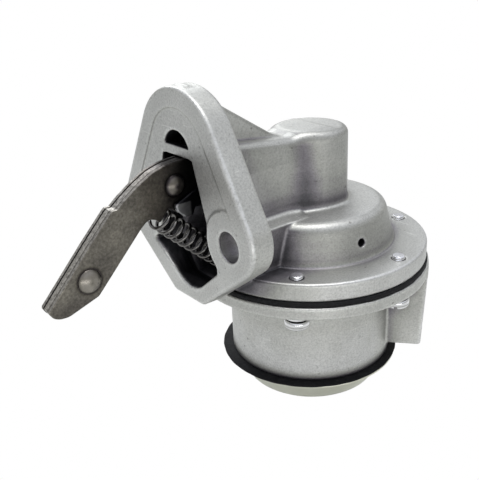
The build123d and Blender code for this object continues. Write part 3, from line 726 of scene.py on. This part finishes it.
def housing_edge(p, n, edge):
    # painted highlight on bright edges, less on the web and on level tops, more at the foot step
    x, y, z = p[:, 0], np.abs(p[:, 1]), p[:, 2]
    up = n[:, 2]
    edge = np.maximum(edge, 0.75 * foot_step(x, z, up) * (z > -4.9) * fall(up, 0.93, 0.1))
    web = (x < 1.0) & (y < 9.0) & within(z, 23.5, 29.0)
    tower_top = (x > FLANGE_BACK) & (z > 15.0)
    drum_top = (x > 12.0) & within(z, -10.0, -5.2)
    return edge * (1 - 0.8 * web) * (1 - 0.8 * tower_top) * (1 - 0.6 * drum_top)


def housing_wear(p):
    # worn strip along the front edge of the flange, strongest at its middle height
    x, y, z = p.T
    outer = rise(hull_distance(y, z, flange_circles(-FLANGE_GROWTH)), -1.7, 0.4)
    fade = 1 - 0.55 * rise(z, 22.0, 8.0) - 0.65 * fall(z, 4.0, 9.0)
    return fall(x, 1.7, 0.4) * outer * fade


def upper_housing():
    step = 0.42
    g = Field((-1.2, -47.2, -28.8), (107.2, 47.2, 48.8), step)
    body = housing_cuts(g, housing_field(g))
    o, p = solid("housing_casting", g, body, "cast_aluminium")
    n = normals(g, body, p)
    shade, edge = wall_marks(g, body, p, n)
    mark(o, "shade", housing_shade(p, n, shade))
    mark(o, "edge", housing_edge(p, n, edge))
    mark(o, "wear", housing_wear(p))
    take(o, "cast_aluminium", "housing", "upper_housing")


# Lower body

LOWER_FLANGE_R = 46.9
BOWL_R = 29.5
BLOCK_END, BLOCK_HALF, BLOCK_BOTTOM = 46.85, 9.0, -64.0
VALVE_BORE_R = 8.5


def ports():
    # each port's outward direction
    return [(math.cos(math.radians(a)), math.sin(math.radians(a))) for a in PORT_ANGLES]


def lower_field(g):
    body = upright(g, BODY_R, BODY_BOTTOM, LOWER_TOP, rounding=0.6)
    x, y = g.x - PUMP_X, g.y
    for c, s in ports():
        along, across = x * c + y * s, -x * s + y * c
        # the block's end leans out by 1.4 mm over 34 mm of height
        end = along - BLOCK_END + (LOWER_TOP - g.z) * 1.4 / 34
        block = meet(np.abs(across) - BLOCK_HALF, end, 1.2)
        block = meet(block, slab(g.z, BLOCK_BOTTOM, LOWER_TOP), 1.0)
        body = join(body, np.maximum(block, -along), 1.3)
    flange = upright(g, LOWER_FLANGE_R, LOWER_FLANGE_BOTTOM, LOWER_TOP, rounding=0.5)
    body = join(body, flange, 0.9)
    return cut(body, upright(g, BOWL_R, DECK_TOP, LOWER_TOP + 5))


def lower_cuts(g, body):
    # two hollows from below, the valve bores, the ports, and the holes for the screws
    c, s = math.cos(VALVE_TURN), math.sin(VALVE_TURN)
    x, y = g.x - PUMP_X, g.y
    u, v = x * c + y * s, -x * s + y * c
    moons = np.maximum(upright(g, 28.5, BODY_BOTTOM - 5, DECK_BOTTOM), 2.5 - np.abs(v))
    moons = np.maximum(moons, 7.0 - np.hypot(u, v))
    body = cut(body, moons, 0.5)
    for k in (-1, 1):
        bore = np.hypot(u, v - VALVE_OFFSET * k) - VALVE_BORE_R
        body = cut(body, np.maximum(bore, slab(g.z, DECK_BOTTOM - 1, DECK_TOP + 1)))
    for c, s in ports():
        way = (-c, -s, 0)
        face = (PUMP_X + PORT_FACE * c, PORT_FACE * s, PORT_Z)
        out = (PUMP_X + 50 * c, 50 * s, PORT_Z)
        body = cut(body, tube_line(g, out, way, SPOT_FACE_REACH, SPOT_FACE_R))
        body = cut(body, tube_line(g, out, way, PORT_REACH, PORT_R), 0.8)
        body = cut(body, tube_line(g, face, way, PORT_WAY_REACH, PORT_WAY_R))
    for x, y in SCREW_SPOTS:
        body = cut(body, upright(g, 2.75, LOWER_TOP - 6, LOWER_TOP + 3, x, y))
    return cut(body, upright(g, 3.05, BODY_BOTTOM - 5, BODY_BOTTOM + 12))


def lower_body():
    step = 0.45
    g = Field((10.5, -48.7, -70.4), (108.6, 48.7, -29.0), step)
    body = lower_cuts(g, lower_field(g))
    o, p = solid("valve_body_casting", g, body, "cast_aluminium")
    shade, edge = wall_marks(g, body, p, normals(g, body, p))
    # painted shade: less of it on the body's side, more on the flange's rim, and a painted reflection of the
    # black disc darkening the foot
    r, z = np.hypot(p[:, 0] - PUMP_X, p[:, 1]), p[:, 2]
    shade = np.where(within(r, 32.0, 33.6) & (z < -36.0), shade * 0.5, shade)
    shade = shade + 0.13 * (r > 44.0) * (z > LOWER_FLANGE_BOTTOM + 0.1)
    mark(o, "shade", shade + 0.62 * np.clip(1 - (z - BODY_BOTTOM) / 4.6, 0, 1) ** 1.6)
    mark(o, "edge", edge)
    take(o, "cast_aluminium", "housing", "lower_body")


# Smaller pieces

def rounded(points, radii):
    # closed outline with an arc of the given radius at each corner
    out = []
    n = len(points)
    for k in range(n):
        p, a, b = (np.array(points[i % n], float) for i in (k, k - 1, k + 1))
        r = radii[k] if isinstance(radii, (list, tuple)) else radii
        u, v = (a - p) / np.linalg.norm(a - p), (b - p) / np.linalg.norm(b - p)
        half = math.acos(max(-1, min(1, float(u @ v)))) / 2
        if r <= 0 or half > math.radians(88):
            out.append(tuple(p))
            continue
        reach = min(r / math.tan(half), 0.45 * np.linalg.norm(a - p), 0.45 * np.linalg.norm(b - p))
        r = reach * math.tan(half)
        middle = (u + v) / np.linalg.norm(u + v)
        centre = p + middle * (r / math.sin(half))
        start, end = p + u * reach - centre, p + v * reach - centre
        for t in np.linspace(0, 1, 7):
            w = start * (1 - t) + end * t
            out.append(tuple(centre + w / np.linalg.norm(w) * r))
    return out


ARM_OUTSIDE = [(-53.0, -13.1), (-36.9, 4.0), (-28.2, 12.8), (-27.3, 13.5), (-25.7, 13.4), (-22.5, 15.9),
               (-17.5, 19.2), (-11.7, 22.3), (-6.5, 23.7), (-0.4, 24.2), (3.0, 24.5), (6.5, 24.0),
               (12.5, 22.4), (17.7, 21.2)]
ARM_UNDER = [(17.7, 5.6), (6.0, 6.4), (-3.9, 6.8), (-6.4, 9.0), (-10.5, 4.5), (-12.0, 6.2),
             (-14.2, 6.9), (-15.9, 6.2), (-18.0, 4.4), (-35.5, -13.4), (-46.6, -16.9), (-49.6, -16.6),
             (-51.6, -15.6)]
ARM_ROUND = [1.0, 6, 0.6, 0.4, 1.0, 8, 12, 12, 12, 10, 8, 8, 8, 2,
             2, 6, 1, 0.5, 1.0, 2, 4, 4, 4, 2.5, 6, 6, 4]
ARM_HALF = 3.0
ARM_EYE_R = 7.8
PIN_WAY_R = 4.05
PLATE_SEAM = 1.43

# the arm's rivets, as (x, z, radius of the head)
TIP_RIVET = (-38.1, -7.1, 4.3)
INNER_RIVET = (-3.7, 16.2, 3.9)
RIVET_HEIGHT = 1.9


def near_circle(x, z, circle):
    return np.abs(np.hypot(x - circle[0], z - circle[1]) - circle[2])


def arm_plate(name, node, y0, y1, shrink, rounding):
    step = 0.24
    g = Field((-54.2, y0 - 0.6, -18.2), (26.8, y1 + 0.6, 25.8), step)
    around_pin = np.hypot(g.x[:, 0] - PIVOT_X, g.z[0] - PIVOT_Z)
    flat = outline_distance(g.x[:, 0], g.z[0], rounded(ARM_OUTSIDE + ARM_UNDER, ARM_ROUND)) + shrink
    flat = np.minimum(flat, around_pin - ARM_EYE_R + shrink)
    flat = np.maximum(flat, PIN_WAY_R - around_pin)[:, None, :]
    body = prism(flat, slab(g.y, y0, y1), rounding)
    o, p = solid(name, g, body, "dark_steel")
    x, y, z = p.T
    # painted shade in the seams between the plates and a painted shadow round the rivets, and rubbed edges
    # that are partly a painted highlight
    seam_shade = np.clip(1 - (np.abs(np.abs(y) - PLATE_SEAM) - 0.05) / 0.35, 0, 1)
    rims = np.minimum(near_circle(x, z, TIP_RIVET), near_circle(x, z, INNER_RIVET))
    mark(o, "shade", np.maximum(0.75 * seam_shade, 0.45 * np.clip(1.1 - rims / 0.9, 0, 1)))
    inset = -sample(g, np.broadcast_to(flat, body.shape), p)[0]
    strength = 0.55 if name == "arm_near" else 0.9
    mark(o, "edge", strength * np.clip(1 - (inset - 0.05) / 0.35, 0, 1))
    take(o, "dark_steel", "rocker_arm", node)


def rivet(name, node, circle, tone):
    # two domed heads on a shank
    x, z, head_r = circle
    side, end = head_r + 0.6, ARM_HALF + RIVET_HEIGHT + 0.6
    g = Field((x - side, -end, z - side), (x + side, end, z + side), 0.2)
    ball = (head_r ** 2 + RIVET_HEIGHT ** 2) / (2 * RIVET_HEIGHT)
    body = along_y(g, 2.5, -3.1, 3.1, x, z)
    for s in (-1, 1):
        cy = s * (ARM_HALF + RIVET_HEIGHT - ball)
        cap = np.sqrt((g.x - x) ** 2 + (g.y - cy) ** 2 + (g.z - z) ** 2) - ball
        cap = meet(cap, 2.95 - s * g.y, 0.3)
        cap = meet(cap, np.hypot(g.x - x, g.z - z) - head_r, 0.5)
        body = np.minimum(body, cap)
    o, p = solid(name, g, body, "rivet_steel")
    r = np.hypot(p[:, 0] - x, p[:, 2] - z) / head_r
    # painted reflection on the heads: dark centre, light ring and darker rim; tone is painted shade, more on
    # the inner rivet
    mark(o, "shade", tone + 0.30 * np.clip(1 - r / 0.30, 0, 1) + 0.45 * rise(r, 0.72, 0.28))
    take(o, "rivet_steel", "rocker_arm", node)


def tube(points, r, sides):
    # round wire along points, ends closed, as vertices and quads
    p = np.array(points, float)
    t = np.gradient(p, axis=0)
    t /= np.linalg.norm(t, axis=1)[:, None]
    u = np.cross(t[0], (0.3, 0.5, 0.8))
    u /= np.linalg.norm(u)
    verts = []
    for k in range(len(p)):
        u = u - t[k] * (u @ t[k])
        u /= np.linalg.norm(u)
        v = np.cross(t[k], u)
        for s in range(sides):
            a = 2 * math.pi * s / sides
            verts.append(p[k] + (u * math.cos(a) + v * math.sin(a)) * r)
    quads = []
    for k in range(len(p) - 1):
        for s in range(sides):
            n = (s + 1) % sides
            quads.append((k * sides + s, k * sides + n, (k + 1) * sides + n, (k + 1) * sides + s))
    for ring in (0, len(p) - 1):
        centre = len(verts)
        verts.append(p[ring])
        for s in range(0, sides, 2):
            a, b, c = ring * sides + s, ring * sides + (s + 1) % sides, ring * sides + (s + 2) % sides
            quads.append((centre, c, b, a) if ring == 0 else (centre, a, b, c))
    return np.array(verts) * MM, np.array(quads)


def coil(start, end, side, other, radius, turns, steps, phase=0.0):
    # points of a helix round the line from start to end
    points = []
    n = int(turns * steps)
    for k in range(n + 1):
        a = 2 * math.pi * turns * k / n + phase
        points.append(start + (end - start) * k / n + (other * math.cos(a) + side * math.sin(a)) * radius)
    return points


def return_spring():
    # coil from the arm's notch to its seat in the housing
    top, foot = np.array(SPRING_TOP), np.array(SPRING_FOOT)
    way = (foot - top) / np.linalg.norm(foot - top)
    side = np.array((0, 1.0, 0))
    start, end = top + (foot - top) * 0.016, top + (foot - top) * 0.984
    points = coil(start, end, side, np.cross(way, side), 3.7, 10.5, 28, 2.2)
    verts, quads = tube(points, 0.6, 12)
    o = mesh_object("return_coil", verts, quads, "spring_steel")
    take(o, "spring_steel", "housing", "arm_return_spring")
    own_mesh(o)


LINK_SIDE = [(-5.2, 9.9), (-2.9, 10.9), (6.0, 14.5), (12.5, 19.9), (17.7, 19.9), (23.0, 18.2), (40.0, 13.0),
             (53.0, 10.0), (59.7, 10.0), (63.5, 9.4), (64.5, 8.5), (63.5, 5.2), (56.0, 4.6), (38.0, 6.2),
             (23.0, 7.6), (17.7, 6.9), (8.0, 7.6), (2.8, 7.6), (1.6, 4.95), (-1.6, 4.95), (-4.4, 7.4)]
LINK_INSIDE, LINK_OUTSIDE = 3.3, 4.9

# the bars that join the link's two sides, as (x0, x1, z0, z1)
LINK_BARS = ((-1.5, 1.6, 4.95, 6.2), (30.0, 46.0, 6.4, 8.0))


def link_lever():
    step = 0.3
    g = Field((-6.4, -5.8, 3.4), (65.8, 5.8, 21.2), step)
    flat = outline_distance(g.x[:, 0], g.z[0], rounded(LINK_SIDE, 1.0))
    flat = np.maximum(flat, PIN_WAY_R - np.hypot(g.x[:, 0] - PIVOT_X, g.z[0] - PIVOT_Z))[:, None, :]
    body = np.minimum(prism(flat, slab(g.y, -LINK_OUTSIDE, -LINK_INSIDE), 0.3),
                      prism(flat, slab(g.y, LINK_INSIDE, LINK_OUTSIDE), 0.3))
    for x0, x1, z0, z1 in LINK_BARS:
        bar = np.maximum(slab(g.x, x0, x1), np.maximum(slab(g.z, z0, z1), np.abs(g.y) - 4.6))
        body = join(body, bar, 0.6)
    o, p = solid("link", g, body, "link_steel")
    # painted shade all over but for the near front end, which catches the light in the mouth
    x, y, z = p.T
    seen = (y < -3.0) * fall(x, 1.3, 0.9) * fall(z, 10.4, 0.6)
    mark(o, "shade", 0.74 - 0.70 * seen)
    take(o, "zinc_steel", "link", "link_lever")


def at_screws(verts, quads):
    # six copies round the rim, each turned a little differently
    all_v, all_q = [], []
    for k, (x, y) in enumerate(SCREW_SPOTS):
        t = 1.3 * k + 0.4
        turn = np.array(((math.cos(t), -math.sin(t), 0), (math.sin(t), math.cos(t), 0), (0, 0, 1)))
        all_v.append(verts @ turn.T + np.array((x, y, 0)) * MM)
        all_q.append(quads + len(verts) * k)
    return np.vstack(all_v), np.vstack(all_q)


def painted_dark_bands(o, verts, lines):
    # painted shade at joins and painted reflection bands: dark level lines, given as (height, half width,
    # strength)
    z = verts[:, 2] / MM
    bands = [strength * np.clip(1.5 - np.abs(z - height) / half, 0, 1) for height, half, strength in lines]
    mark(o, "shade", sum(bands))


HEAD_TOP, HEAD_BOTTOM, HEAD_R = -36.35, -40.0, 4.8
SHANK_TOP, SHANK_R, THREAD_DEPTH, THREAD_PITCH = -19.4, 2.5, 0.42, 0.8
WASHER_TOP, WASHER_BOTTOM = -34.33, -35.85


def rim_screws():
    # slotted round heads under the lower flange, and thread ends over the rim
    g = Field((-5.4, -5.4, -40.6), (5.4, 5.4, -18.9), 0.2)
    r = np.hypot(g.x, g.y)
    phase = g.z / THREAD_PITCH - np.arctan2(g.y, g.x) / (2 * math.pi)
    thread = np.abs(phase - np.floor(phase) - 0.5) * 2
    thread = np.where(g.z > -29, thread, 0)
    shank = meet(r - (SHANK_R - THREAD_DEPTH * thread), slab(g.z, -37.2, SHANK_TOP), 0.3)
    shank = np.maximum(shank, (r - 2.1) * 0.7 + (g.z - SHANK_TOP) * 0.7 - 0.05)
    head = prism(r - HEAD_R, slab(g.z, HEAD_BOTTOM, HEAD_TOP), 1.3)
    head = cut(head, np.maximum(np.abs(g.y) - 0.6, g.z + 38.8), 0.2)
    verts, quads = at_screws(*surface(g, np.minimum(shank, head)))
    o = mesh_object("rim_screw_set", verts, quads, "zinc_steel")
    painted_dark_bands(o, verts, ((-36.4, 0.26, 0.64), (-38.5, 0.30, 0.34)))
    take(o, "zinc_steel", "housing", "rim_screws")


def lock_washers():
    g = Field((-5.4, -5.4, -36.4), (5.4, 5.4, -33.8), 0.2)
    body = prism(np.abs(np.hypot(g.x, g.y) - 3.65) - 1.25, slab(g.z, WASHER_BOTTOM, WASHER_TOP), 0.35)
    split = np.maximum(np.abs(g.y + g.z * 0.4 + 13.9) - 0.25, -g.x)
    verts, quads = at_screws(*surface(g, cut(body, split, 0.1)))
    o = mesh_object("lock_washer_set", verts, quads, "zinc_steel")
    painted_dark_bands(o, verts, ((-35.85, 0.26, 0.60), (-34.35, 0.22, 0.50)))
    take(o, "zinc_steel", "housing", "rim_lock_washers")


def spun(name, points, material, sides, wobble=None):
    # closed section turned about the pump's axis; wobble(angle, point number) shifts a radius
    verts, quads = [], []
    n = len(points)
    for k in range(sides):
        a = 2 * math.pi * k / sides
        for i, (r, z) in enumerate(points):
            rr = r + (wobble(a, i) if wobble else 0)
            verts.append((PUMP_X + rr * math.cos(a), rr * math.sin(a), z))
    for k in range(sides):
        m = (k + 1) % sides
        for i in range(n):
            j = (i + 1) % n
            quads.append((k * n + i, k * n + j, m * n + j, m * n + i))
    return mesh_object(name, np.array(verts) * MM, np.array(quads), material)


def diaphragm_wobble(a, i):
    # the clamped edge, points 5 to 8 of the section, waves a little
    return (0.10 * math.sin(17 * a + i) + 0.08 * math.sin(41 * a + 2 * i) - 0.18) if 4 < i < 9 else 0.0


def main_diaphragm():
    outline = [(3.05, -35.0), (21.0, -35.0), (22.5, -34.5), (29.0, -28.45), (30.5, RIM_BOTTOM),
               (46.3, RIM_BOTTOM), (46.6, RIM_BOTTOM - 0.3), (46.6, LOWER_TOP + 0.3), (46.3, LOWER_TOP),
               (31.5, LOWER_TOP), (30.0, -30.75), (23.0, -36.0), (21.5, -36.6), (3.05, -36.6)]
    o = spun("diaphragm_sheet", outline, "black_diaphragm", 288, diaphragm_wobble)
    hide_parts("main_diaphragm")
    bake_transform(o)


def pulsator_wobble(a, i):
    # the clamped edge, points 2 to 5 of the section, is uneven and sits off centre
    ragged = 0.62 * math.cos(a - 2.47) + 0.05 * math.sin(13 * a + 1) + 0.05 * math.sin(29 * a + i) - 0.1
    return ragged if 1 < i < 6 else 0.0


def pulsator():
    z = BODY_BOTTOM
    disc = [(3.2, z), (20.0, z), (36.2, z), (36.4, z - 0.2), (36.4, z - 0.6), (36.2, z - 0.8),
            (20.0, z - 1.2), (3.2, z - 1.2)]
    o = spun("pulsator_sheet", disc, "black_rubber", 288, pulsator_wobble)
    take(o, "black_rubber", "housing", "pulsator_diaphragm")
    top = z - 0.85
    pan = [(3.3, -82.2), (23.4, -82.2), (25.4, -81.6), (27.2, -80.2), (28.6, -78.0), (30.6, -73.6),
           (31.4, -72.2), (32.4, -71.2), (33.4, top - 1.2), (35.1, top - 1.2), (35.4, top - 0.9),
           (35.4, top - 0.3), (35.1, top), (32.0, top), (30.9, top - 0.6), (30.0, top - 2.2),
           (27.7, -78.2), (26.4, -80.0), (25.0, -80.7), (23.4, -81.0), (3.3, -81.0)]
    o = spun("cover_pan", pan, "plated_pressing", 192)
    take(o, "plated_pressing", "housing", "pulsator_cover")


def upright_spring(name, node, cx, cy, z0, z1, radius, wire, turns):
    # the CAD springs inside are hidden behind these
    start, end = np.array((cx, cy, z0 + wire)), np.array((cx, cy, z1 - wire))
    points = coil(start, end, np.array((0, 1.0, 0)), np.array((1.0, 0, 0)), radius, turns, 24)
    verts, quads = tube(points, wire, 8)
    o = mesh_object(name, verts, quads, "spring_steel")
    take(o, "spring_steel", "housing", node)
    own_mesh(o)


def inner_springs():
    upright_spring("stem_coil", "diaphragm_spring", PUMP_X, 0, -33.8, -9.7, 13.0, 0.9, 6)
    for name, s, z0, z1, joint, anchor in (("inlet", 1, -47.3, -43.5, "inlet_disc_lift", -43.5),
                                           ("outlet", -1, -49.5, -45.7, "outlet_disc_lift", -49.5)):
        cx = PUMP_X - VALVE_OFFSET * s * math.sin(VALVE_TURN)
        cy = VALVE_OFFSET * s * math.cos(VALVE_TURN)
        upright_spring(name + "_coil", name + "_valve_spring", cx, cy, z0, z1, 2.6, 0.3, 3)


# CAD nodes that stay in sight

NODE_MATERIALS = {
    "cast_aluminium": ["upper_housing", "lower_body"],
    "black_diaphragm": ["main_diaphragm"],
    "plated_pressing": ["diaphragm_upper_plate", "diaphragm_lower_plate", "seal_retainer", "pulsator_cover"],
    "pin_steel": ["pull_rod", "pivot_pin"],
    "zinc_steel": ["pull_rod_nut", "link_lever", "rim_screws", "rim_lock_washers", "cover_screw",
                   "cover_screw_washer"],
    "black_rubber": ["pull_rod_seal", "pulsator_diaphragm", "inlet_valve_disc", "outlet_valve_disc"],
    "spring_steel": ["diaphragm_spring", "arm_return_spring", "inlet_valve_spring", "outlet_valve_spring"],
    "dark_steel": ["arm_plate_near", "arm_plate_middle", "arm_plate_far"],
    "rivet_steel": ["arm_tip_rivet", "arm_inner_rivet"],
    "valve_brass": ["inlet_valve_seat", "inlet_valve_cage", "outlet_valve_seat", "outlet_valve_cage"],
}


def paint_nodes():
    for name, nodes in NODE_MATERIALS.items():
        for node in nodes:
            mesh = bpy.data.objects[node].data
            mesh.materials.clear()
            mesh.materials.append(mat[name])


# Light, floor and camera

SKY_STOPS = [(0.0, (0.60, 0.60, 0.56)), (0.45, (0.42, 0.42, 0.385)), (0.60, (0.50, 0.50, 0.48)),
             (0.80, (0.85, 0.88, 0.96)), (1.0, (1.0, 1.03, 1.12))]
FLOOR_HALF, FLOOR_Z = 6.0, -0.12

# the photo's camera, from the fit to its edges
LENS_MM, SENSOR_MM = 53.16, 36.0
CAMERA_PLACE = (-0.12205, -0.19144, 0.09095)
CAMERA_LOOK = (0.5577, 0.7297, -0.3956)
CAMERA_UP = (0.2797, 0.2836, 0.9173)


def put_in_scene(name, data):
    o = bpy.data.objects.new(name, data)
    bpy.context.scene.collection.objects.link(o)
    return o


def white_to_camera(tree, shader, white):
    # the given shader for light, and plain white for the camera's own rays
    path = tree.add("LightPath")
    mix = tree.add("MixShader", {0: path.outputs["Is Camera Ray"], 1: shader, 2: white})
    return mix.outputs[0]


def studio():
    world = bpy.data.worlds.new("studio")
    bpy.context.scene.world = world
    tree = Tree(world)
    tree.nodes.clear()
    height = tree.axis(tree.place("Generated"), "Z")
    sky = tree.ramp(tree.map_range(height, {"From Min": -1.0, "From Max": 1.0}), SKY_STOPS)
    soft = tree.add("Background", {"Color": sky, "Strength": 0.85})
    white = tree.add("Background", {"Color": WHITE, "Strength": 1.0})
    tree.add("OutputWorld", {"Surface": white_to_camera(tree, soft.outputs[0], white.outputs[0])})


def area(name, place, target, size, power, colour=WHITE):
    light = bpy.data.lights.new(name, "AREA")
    light.shape = "RECTANGLE"
    light.size, light.size_y = size
    light.energy = power
    light.color = colour
    o = put_in_scene(name, light)
    o.location = place
    o.rotation_mode = "QUATERNION"
    o.rotation_quaternion = (Vector(target) - Vector(place)).to_track_quat("-Z", "Y")


def floor():
    mesh = bpy.data.meshes.new("floor")
    s, z = FLOOR_HALF, FLOOR_Z
    mesh.from_pydata([(-s, -s, z), (s, -s, z), (s, s, z), (-s, s, z)], [], [(0, 1, 2, 3)])
    m, tree, bsdf = new_material("floor")
    tree.set(bsdf, {"Base Color": (0.66, 0.66, 0.63), "Roughness": 0.9})
    glow = tree.add("Emission", {"Color": WHITE})
    seen = white_to_camera(tree, bsdf.outputs[0], glow.outputs[0])
    tree.set(tree.nodes["Material Output"], {"Surface": seen})
    mesh.materials.append(m)
    o = put_in_scene("floor", mesh)


def camera():
    data = bpy.data.cameras.new("camera")
    data.lens = LENS_MM
    data.sensor_width = SENSOR_MM
    data.clip_start, data.clip_end = 0.01, 100
    o = put_in_scene("camera", data)
    look = Vector(CAMERA_LOOK).normalized()
    right = look.cross(Vector(CAMERA_UP)).normalized()
    m = Matrix((right, right.cross(look), -look)).transposed().to_4x4()
    m.translation = Vector(CAMERA_PLACE)
    o.matrix_world = m
    bpy.context.scene.camera = o


upper_housing()
lower_body()
arm_plate("arm_near", "arm_plate_near", -ARM_HALF, -1.46, 0.0, 0.38)
arm_plate("arm_middle", "arm_plate_middle", -1.4, 1.4, 0.18, 0.30)
arm_plate("arm_far", "arm_plate_far", 1.46, ARM_HALF, 0.0, 0.38)
rivet("tip_rivet_heads", "arm_tip_rivet", TIP_RIVET, 0.05)
rivet("inner_rivet_heads", "arm_inner_rivet", INNER_RIVET, 0.33)
return_spring()
link_lever()
rim_screws()
lock_washers()
main_diaphragm()
pulsator()
inner_springs()
paint_nodes()
studio()
floor()
camera()
area("top", (0.05, -0.03, 0.62), (0.06, 0, 0), (0.34, 0.30), 1.9)
area("low_fill", (-0.22, -0.50, -0.09), (0.06, 0, -0.05), (0.6, 0.12), 0.7)
area("back", (0.3, 0.7, 0.5), (0.05, 0, 0), (0.6, 0.4), 2.4, (0.95, 0.97, 1.0))

bpy.context.scene.view_settings.view_transform = "Standard"
